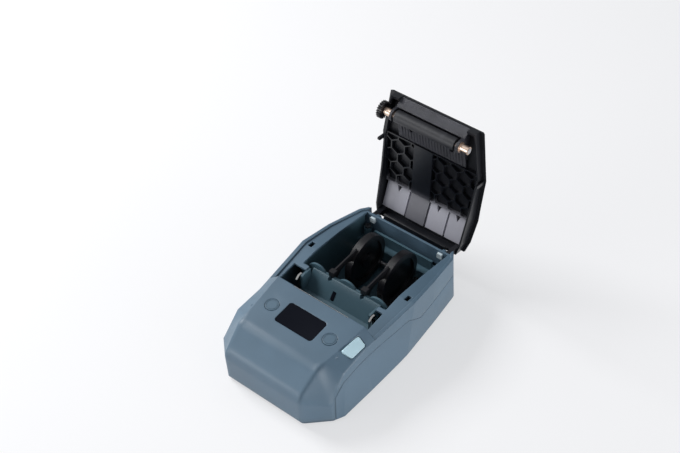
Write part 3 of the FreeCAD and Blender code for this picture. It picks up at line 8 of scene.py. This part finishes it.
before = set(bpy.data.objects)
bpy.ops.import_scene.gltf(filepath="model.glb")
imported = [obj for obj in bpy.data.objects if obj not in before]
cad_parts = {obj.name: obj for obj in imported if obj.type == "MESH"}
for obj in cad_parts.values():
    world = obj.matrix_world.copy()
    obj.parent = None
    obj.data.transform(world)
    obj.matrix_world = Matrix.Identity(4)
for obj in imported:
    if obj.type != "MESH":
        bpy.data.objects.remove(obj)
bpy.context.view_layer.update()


# Shader maths

class Value:
    """A node socket that can be used in plain arithmetic."""

    def __init__(self, paint, socket):
        self.paint = paint
        self.socket = socket

    def maths(self, operation, other, swapped=False):
        first, second = (other, self) if swapped else (self, other)
        return self.paint.node("ShaderNodeMath", {"operation": operation}, {0: first, 1: second})[0]

    def __add__(self, other):
        return self.maths("ADD", other)

    def __radd__(self, other):
        return self.maths("ADD", other, True)

    def __sub__(self, other):
        return self.maths("SUBTRACT", other)

    def __rsub__(self, other):
        return self.maths("SUBTRACT", other, True)

    def __mul__(self, other):
        return self.maths("MULTIPLY", other)

    def __rmul__(self, other):
        return self.maths("MULTIPLY", other, True)

    def __truediv__(self, other):
        return self.maths("DIVIDE", other)

    def power(self, other):
        return self.maths("POWER", other)

    def above(self, edge):
        return self.maths("GREATER_THAN", edge)

    def smooth(self, low, high):
        """Nought below low, one above high, with a soft step between."""
        return self.paint.node("ShaderNodeMapRange", {"interpolation_type": "SMOOTHSTEP"},
                               {"Value": self, "From Min": low, "From Max": high})[0]


class Paint:
    """One material: its nodes are added by node(), and it ends in a Principled shader."""

    def __init__(self, name):
        self.material = bpy.data.materials.new(name)
        self.material.use_nodes = True
        self.tree = self.material.node_tree
        self.tree.nodes.clear()

    def node(self, kind, settings=None, inputs=None):
        made = self.tree.nodes.new(kind)
        for key, value in (settings or {}).items():
            if key == "stops":
                ramp = made.color_ramp.elements
                while len(ramp) < len(value):
                    ramp.new(0.5)
                for stop, (place, tone) in zip(ramp, value):
                    stop.position = place
                    stop.color = (tone, tone, tone, 1)
            else:
                setattr(made, key, value)
        for key, value in (inputs or {}).items():
            if isinstance(value, Value):
                self.tree.links.new(value.socket, made.inputs[key])
            else:
                made.inputs[key].default_value = value
        return [Value(self, socket) for socket in made.outputs if socket.enabled]

    def place(self):
        return self.node("ShaderNodeTexCoord")[3]

    def along(self, axis):
        return self.node("ShaderNodeSeparateXYZ", None, {0: self.place()})["XYZ".index(axis)]

    def noise(self, scale, detail=2.0, roughness=0.5, at=None):
        return self.node("ShaderNodeTexNoise", None, {"Vector": at or self.place(), "Scale": scale,
                                                      "Detail": detail, "Roughness": roughness})[0]

    def mix(self, share, first, second):
        colours = {"data_type": "RGBA"}
        made = self.tree.nodes.new("ShaderNodeMix")
        made.data_type = colours["data_type"]
        for index, value in ((0, share), (6, first), (7, second)):
            if isinstance(value, Value):
                self.tree.links.new(value.socket, made.inputs[index])
            else:
                made.inputs[index].default_value = value if index == 0 else (*value, 1)
        return Value(self, made.outputs[2])

    def bump(self, height, distance, normal=None):
        inputs = {"Height": height, "Distance": distance}
        if normal is not None:
            inputs["Normal"] = normal
        return self.node("ShaderNodeBump", None, inputs)[0]

    def rounded(self, radius):
        """A normal that is turned gradually over every edge within a radius."""
        return self.node("ShaderNodeBevel", {"samples": 8}, {"Radius": radius})[0]

    def finish(self, **sockets):
        shader = self.tree.nodes.new("ShaderNodeBsdfPrincipled")
        for key, value in sockets.items():
            socket = shader.inputs[key.replace("_", " ")]
            if isinstance(value, Value):
                self.tree.links.new(value.socket, socket)
            elif isinstance(value, tuple):
                socket.default_value = (*value, 1)
            else:
                socket.default_value = value
        output = self.tree.nodes.new("ShaderNodeOutputMaterial")
        self.tree.links.new(shader.outputs[0], output.inputs[0])
        return self.material


# Finishes

def grained_plastic(name, colour, roughness, grain=0.00002, specular=0.5, coat=0.0):
    """Moulded plastic: a fine spark-eroded grain and slow changes of tone and gloss."""
    paint = Paint(name)
    fine = paint.noise(5200.0, 2.0, 0.6)
    slow = paint.noise(22.0, 3.0)
    tone = paint.mix(slow.smooth(0.3, 0.7), tuple(c * 0.94 for c in colour), tuple(min(1, c * 1.06) for c in colour))
    return paint.finish(Base_Color=tone, Roughness=roughness + 0.10 * (slow - 0.5) + 0.06 * (fine - 0.5),
                        Specular_IOR_Level=specular, Normal=paint.bump(fine, grain), Coat_Weight=coat)


def shell_plastic(name, colour, roughness):
    """Grained plastic whose creases run softly into each other, most of all round the nose."""
    paint = Paint(name)
    fine = paint.noise(5200.0, 2.0, 0.6)
    slow = paint.noise(22.0, 3.0)
    tone = paint.mix(slow.smooth(0.3, 0.7), tuple(c * 0.94 for c in colour), tuple(c * 1.06 for c in colour))
    nose = 1.0 - paint.along("Y").smooth(-0.086, -0.074)
    soft = paint.rounded(0.0008 + 0.0055 * nose)
    return paint.finish(Base_Color=tone, Roughness=roughness + 0.10 * (slow - 0.5) + 0.06 * (fine - 0.5),
                        Normal=paint.bump(fine, 0.00002, soft))


def gloss_plastic(name, colour, roughness, specular=0.5):
    """Polished plastic with faint waviness and a few wiped smears."""
    paint = Paint(name)
    wave = paint.noise(60.0, 2.0)
    smear = paint.noise(9.0, 4.0).smooth(0.45, 0.7)
    tone = paint.mix(smear, colour, tuple(min(1, c * 1.15 + 0.002) for c in colour))
    return paint.finish(Base_Color=tone, Roughness=roughness + 0.08 * smear, Specular_IOR_Level=specular,
                        Normal=paint.bump(wave, 0.00006))


def machined_metal(name, colour, roughness, along=(0, 1, 0)):
    """Metal with fine drawn lines along one direction."""
    paint = Paint(name)
    stretch = tuple(3000.0 if a == 0 else 90.0 for a in along)
    lines = paint.node("ShaderNodeMapping", None, {"Vector": paint.place(), "Scale": stretch})[0]
    drawn = paint.noise(1.0, 2.0, 0.5, lines)
    slow = paint.noise(70.0, 3.0)
    tone = paint.mix(slow.smooth(0.35, 0.75), colour, tuple(c * 0.86 for c in colour))
    return paint.finish(Base_Color=tone, Metallic=1.0, Roughness=roughness + 0.16 * (drawn - 0.5) + 0.08 * slow,
                        Normal=paint.bump(drawn, 0.00001))


def rubber(name, colour, roughness):
    paint = Paint(name)
    fine = paint.noise(2600.0, 3.0, 0.7)
    dust = paint.noise(160.0, 4.0).smooth(0.52, 0.78)
    tone = paint.mix(dust, colour, tuple(c * 1.5 + 0.01 for c in colour))
    return paint.finish(Base_Color=tone, Roughness=roughness + 0.08 * dust, Normal=paint.bump(fine, 0.00003))


def lid_inside(name, black, fold_height, painted_reflection_tone, painted_reflection_top, strip):
    """Polished black moulding with a painted reflection that makes the panels below the fold of the open lid paler.
    """
    paint = Paint(name)
    height = paint.along("Z")
    across = paint.along("X")
    on_strip = across.above(strip[0]) * (1.0 - across.above(strip[1]))
    fine = paint.noise(5200.0, 2.0, 0.6)
    slow = paint.noise(26.0, 3.0)
    # Painted reflection: full below the fold, fading out above it, uneven, and dimmer on the strip
    painted_reflection = 1.0 - height.smooth(fold_height, painted_reflection_top)
    tone = paint.mix(painted_reflection * (0.8 + 0.4 * slow) * (1.0 - 0.62 * on_strip), black, painted_reflection_tone)
    return paint.finish(Base_Color=tone, Roughness=0.30 + 0.12 * (slow - 0.5), Normal=paint.bump(fine, 0.00001))


def woven_plastic(name, colour, roughness, pitch):
    """Black moulding with a fine hatched texture along two directions."""
    paint = Paint(name)
    across = (paint.along("X") * (6.2832 / pitch)).maths("SINE", 0.0)
    upward = (paint.along("Z") * (6.2832 / pitch)).maths("SINE", 0.0)
    slow = paint.noise(40.0, 3.0)
    tone = paint.mix(slow.smooth(0.35, 0.7), colour, tuple(c * 1.7 for c in colour))
    return paint.finish(Base_Color=tone, Roughness=roughness, Normal=paint.bump(across * upward, 0.00012))


shell_blue = (0.082, 0.138, 0.192)
bay_blue = (0.050, 0.100, 0.130)
shell_finish = shell_plastic("shell_blue_plastic", shell_blue, 0.42)
base_finish = grained_plastic("base_blue_plastic", shell_blue, 0.42)
bay_finish = grained_plastic("bay_blue_plastic", bay_blue, 0.40)
button_finish = grained_plastic("button_blue_plastic", (0.075, 0.130, 0.180), 0.38)
lid_shell_finish = grained_plastic("lid_black_plastic", (0.008, 0.009, 0.012), 0.36, specular=0.4)
# The pale grey-lilac tone is a painted reflection on the lower lid panels, not their own colour
lid_inside_finish = lid_inside("lid_black_moulding_painted_reflection", (0.005, 0.006, 0.009), 0.0555, (0.34, 0.34, 0.385), 0.0685,
                               (-0.0163, 0.0022))
carrier_finish = woven_plastic("carrier_black_plastic", (0.022, 0.023, 0.030), 0.42, 0.0009)
disc_finish = grained_plastic("holder_black_plastic", (0.007, 0.007, 0.009), 0.34)
gear_finish = grained_plastic("gear_black_plastic", (0.007, 0.007, 0.009), 0.32)
window_finish = gloss_plastic("window_black", (0.004, 0.005, 0.009), 0.12, 0.12)
release_finish = grained_plastic("release_pale_plastic", (0.47, 0.66, 0.74), 0.34)
pale_finish = grained_plastic("pale_plastic", (0.55, 0.64, 0.68), 0.4)
steel_finish = machined_metal("brushed_steel", (0.60, 0.60, 0.61), 0.30, (1, 0, 0))
dark_steel_finish = machined_metal("blackened_steel", (0.10, 0.11, 0.12), 0.42, (1, 0, 0))
nickel_finish = machined_metal("bright_nickel", (0.80, 0.79, 0.76), 0.16, (0, 0, 1))
brass_finish = machined_metal("turned_brass", (0.80, 0.62, 0.50), 0.30, (1, 0, 0))
sink_finish = machined_metal("heat_sink_aluminium", (0.72, 0.72, 0.74), 0.35, (1, 0, 0))
roller_finish = rubber("roller_rubber", (0.011, 0.012, 0.016), 0.50)
feet_finish = rubber("foot_rubber", (0.020, 0.020, 0.021), 0.75)
board_finish = gloss_plastic("board_green", (0.012, 0.090, 0.040), 0.35)
battery_finish = gloss_plastic("battery_wrap", (0.030, 0.060, 0.160), 0.30)
ceramic_finish = gloss_plastic("head_ceramic", (0.70, 0.68, 0.62), 0.18)

finishes = {
    "upper_shell": shell_finish, "base_shell": base_finish, "lid_shell": lid_shell_finish,
    "roll_tub": bay_finish, "paper_guide": bay_finish, "hinge_blocks": pale_finish,
    "left_button": button_finish, "right_button": button_finish, "release_button": release_finish,
    "display_window": window_finish, "display_module": disc_finish, "display_board": board_finish,
    "button_switches": disc_finish, "label_sensor": window_finish, "main_board": board_finish,
    "battery_pack": battery_finish, "rubber_feet": feet_finish, "platen_roller": roller_finish,
    "lid_frame": lid_inside_finish, "platen_carrier": carrier_finish,
    "platen_gear": gear_finish, "idler_gear": gear_finish, "holder_pinion": gear_finish,
    "left_roll_guide": disc_finish, "right_roll_guide": disc_finish,
    "left_holder_slider": disc_finish, "right_holder_slider": disc_finish,
    "left_platen_bush": brass_finish, "right_platen_bush": brass_finish, "motor_pinion": brass_finish,
    "left_latch_lever": nickel_finish, "right_latch_lever": nickel_finish, "latch_rod": steel_finish,
    "hinge_pins": dark_steel_finish, "boss_screw": dark_steel_finish,
    "heat_sink": sink_finish, "print_head": ceramic_finish, "platen_shaft": steel_finish,
}
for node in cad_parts:
    body = bpy.data.objects[node]
    finish = finishes.get(node, steel_finish)
    body.data.materials.clear()
    body.data.materials.append(finish)


# Softened edges on the moulded pieces

def soften(node, width, segments=3, angle=24):
    piece = bpy.data.objects[node]
    weld = piece.modifiers.new("weld", "WELD")
    weld.merge_threshold = 0.00002
    bevel = piece.modifiers.new("soft_edges", "BEVEL")
    bevel.width = width
    bevel.segments = segments
    bevel.limit_method = "ANGLE"
    bevel.angle_limit = math.radians(angle)
    bevel.harden_normals = False
    bevel.use_clamp_overlap = True


for node in ("upper_shell", "base_shell", "lid_shell"):
    soften(node, 0.0006)


# Floor, light and camera

def stage():
    """A pale floor that looks near white but keeps half of the shadow."""
    mesh = bmesh.new()
    bmesh.ops.create_grid(mesh, x_segments=1, y_segments=1, size=6.0)
    data = bpy.data.meshes.new("floor")
    mesh.to_mesh(data)
    mesh.free()
    floor = bpy.data.objects.new("floor", data)
    bpy.context.scene.collection.objects.link(floor)
    paint = Paint("floor_white")
    path = paint.node("ShaderNodeLightPath")
    seen = path[0].maths("MAXIMUM", path[3]).maths("MAXIMUM", path[6])
    shader = paint.tree.nodes.new("ShaderNodeBsdfPrincipled")
    shader.inputs["Base Color"].default_value = (0.80, 0.80, 0.82, 1)
    shader.inputs["Roughness"].default_value = 0.8
    glow = paint.tree.nodes.new("ShaderNodeEmission")
    glow.inputs["Color"].default_value = (0.985, 0.99, 1.0, 1)
    glow.inputs["Strength"].default_value = 1.0
    blend = paint.tree.nodes.new("ShaderNodeMixShader")
    paint.tree.links.new((seen * 0.6).socket, blend.inputs[0])
    paint.tree.links.new(shader.outputs[0], blend.inputs[1])
    paint.tree.links.new(glow.outputs[0], blend.inputs[2])
    output = paint.tree.nodes.new("ShaderNodeOutputMaterial")
    paint.tree.links.new(blend.outputs[0], output.inputs[0])
    data.materials.append(paint.material)


def lamp(name, kind, place, aim, power, size, colour=(1, 1, 1)):
    data = bpy.data.lights.new(name, kind)
    data.energy = power
    data.color = colour
    if kind == "AREA":
        data.shape = "RECTANGLE"
        data.size, data.size_y = size
    thing = bpy.data.objects.new(name, data)
    thing.location = place
    thing.rotation_euler = (Vector(aim) - Vector(place)).to_track_quat("-Z", "Y").to_euler()
    bpy.context.scene.collection.objects.link(thing)
    return thing


def studio():
    world = bpy.data.worlds.new("studio")
    bpy.context.scene.world = world
    world.use_nodes = True
    shade = world.node_tree.nodes["Background"]
    shade.inputs[0].default_value = (0.93, 0.95, 1.0, 1)
    shade.inputs[1].default_value = 0.36
    lamp("overhead", "AREA", (-1.05, -0.1, 0.95), (0, 0, 0.05), 18.0, (0.55, 0.55))
    lamp("right_low", "AREA", (1.3, 0.1, 0.14), (0, 0, 0.03), 11.0, (1.0, 0.25))
    lamp("left_front", "AREA", (-0.75, -1.25, 0.32), (0, 0.08, 0.05), 8.0, (0.9, 0.5))


def camera():
    data = bpy.data.cameras.new("camera")
    data.sensor_fit = "HORIZONTAL"
    data.sensor_width = 36.0
    data.lens = 36.0 * 1302.03 / 680.0
    data.clip_start = 0.05
    turn = math.radians(38.668)
    lift = math.radians(43.218)
    back = Vector((math.sin(turn) * math.cos(lift), -math.cos(turn) * math.cos(lift), math.sin(lift)))
    target = Vector((-0.057324, 0.057734, 0.030))
    thing = bpy.data.objects.new("camera", data)
    thing.location = target + back * 1.09672
    thing.rotation_euler = (-back).to_track_quat("-Z", "Y").to_euler()
    bpy.context.scene.collection.objects.link(thing)
    bpy.context.scene.camera = thing


stage()
studio()
camera()
bpy.context.scene.view_settings.view_transform = "Standard"
